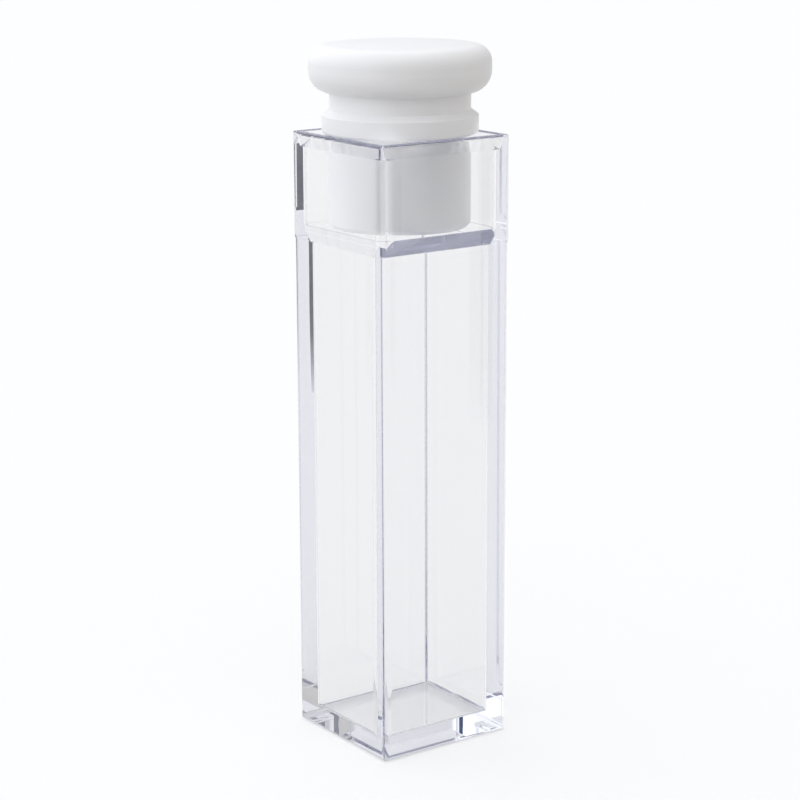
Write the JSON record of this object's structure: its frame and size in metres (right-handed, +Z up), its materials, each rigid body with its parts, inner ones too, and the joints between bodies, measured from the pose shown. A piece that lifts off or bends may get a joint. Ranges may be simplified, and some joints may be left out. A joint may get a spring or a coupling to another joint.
{
  "type": "cuvette",
  "caption": "Clear square optical cell with a wider head, closed by a white push-in stopper with a round knob.",
  "frame": {"origin": "centre of the cell's base", "axes": "+Z up the cell's long axis; +X and +Y square to its flat faces"},
  "size_m": [0.0146, 0.0146, 0.0571],
  "materials": {
    "cell": "clear moulded acrylic, polished on every face",
    "stopper": "white moulded polyethylene, satin"
  },
  "bodies": {
    "cell": {"cell": "cell"},
    "stopper": {"stopper": "stopper"}
  },
  "joints": [
    {"name": "stopper_lift", "type": "slide", "parent": "cell", "child": "stopper", "axis": [0, 0, 1], "range_m": [0, 0.02]}
  ]
}
